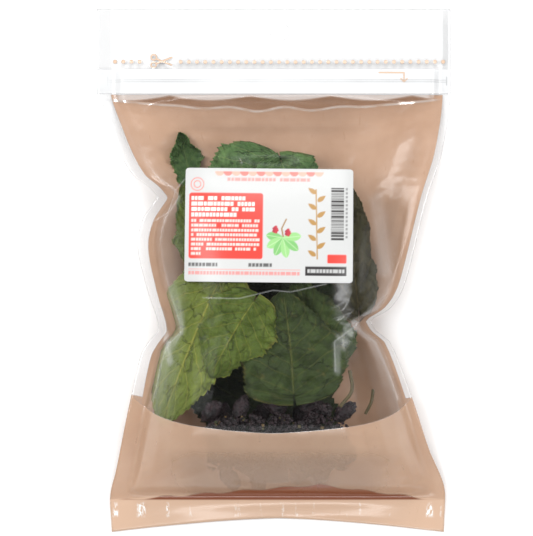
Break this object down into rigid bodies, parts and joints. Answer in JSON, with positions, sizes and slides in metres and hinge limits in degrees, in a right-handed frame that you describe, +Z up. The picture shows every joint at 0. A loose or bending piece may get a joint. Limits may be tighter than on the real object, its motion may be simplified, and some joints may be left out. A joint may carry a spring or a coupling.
{
  "type": "resealable pouch of dried mulberry leaves and mulberries",
  "caption": "Flat clear-fronted zip pouch with a hang hole, a printed foot and a sticker label, filled with dried mulberry leaves and dried mulberries, lying on its back.",
  "frame": {"origin": "on the table under the middle of the pouch's bounding box", "axes": "+Y along the pouch towards its header, +X across it, +Z up out of its clear front"},
  "size_m": [0.18, 0.2659, 0.0494],
  "materials": {
    "clear_film": "clear glossy film, with a semi-opaque beige print at the foot",
    "printed_film": "glossy film with a beige print below the zip and clear above it",
    "zip_plastic": "milky translucent extruded strip",
    "label_paper": null,
    "dried_leaf": "dry matt leaf with raised pale veins",
    "dried_berry": "dark wrinkled dried fruit, faintly waxy",
    "dried_stalk": "dry ribbed stalk"
  },
  "bodies": {
    "root": {"back_film": "printed_film", "front_film": "clear_film", "zip_channel": "zip_plastic", "zip_rib": "zip_plastic", "label": "label_paper", "leaf_back_lower": "dried_leaf", "leaf_back_upper": "dried_leaf", "leaf_back_right": "dried_leaf", "leaf_back_left": "dried_leaf", "leaf_under_label": "dried_leaf", "leaf_top": "dried_leaf", "leaf_top_right": "dried_leaf", "leaf_right": "dried_leaf", "leaf_left_edge": "dried_leaf", "leaf_curled_top": "dried_leaf", "leaf_front_right": "dried_leaf", "leaf_front_middle": "dried_leaf", "leaf_front_left": "dried_leaf", "berry_01": "dried_berry", "berry_02": "dried_berry", "berry_03": "dried_berry", "berry_04": "dried_berry", "berry_05": "dried_berry", "berry_06": "dried_berry", "berry_07": "dried_berry", "berry_08": "dried_berry", "berry_09": "dried_berry", "berry_10": "dried_berry", "berry_11": "dried_berry", "berry_12": "dried_berry", "berry_13": "dried_berry", "berry_14": "dried_berry", "berry_15": "dried_berry", "berry_16": "dried_berry", "berry_17": "dried_berry", "berry_18": "dried_berry", "berry_19": "dried_berry", "berry_20": "dried_berry", "berry_21": "dried_berry", "berry_22": "dried_berry", "berry_23": "dried_berry", "berry_24": "dried_berry", "berry_25": "dried_berry", "berry_26": "dried_berry", "berry_27": "dried_berry", "berry_28": "dried_berry", "berry_29": "dried_berry", "berry_30": "dried_berry", "berry_31": "dried_berry", "stalk_long": "dried_stalk", "stalk_short": "dried_stalk"}
  },
  "joints": []
}
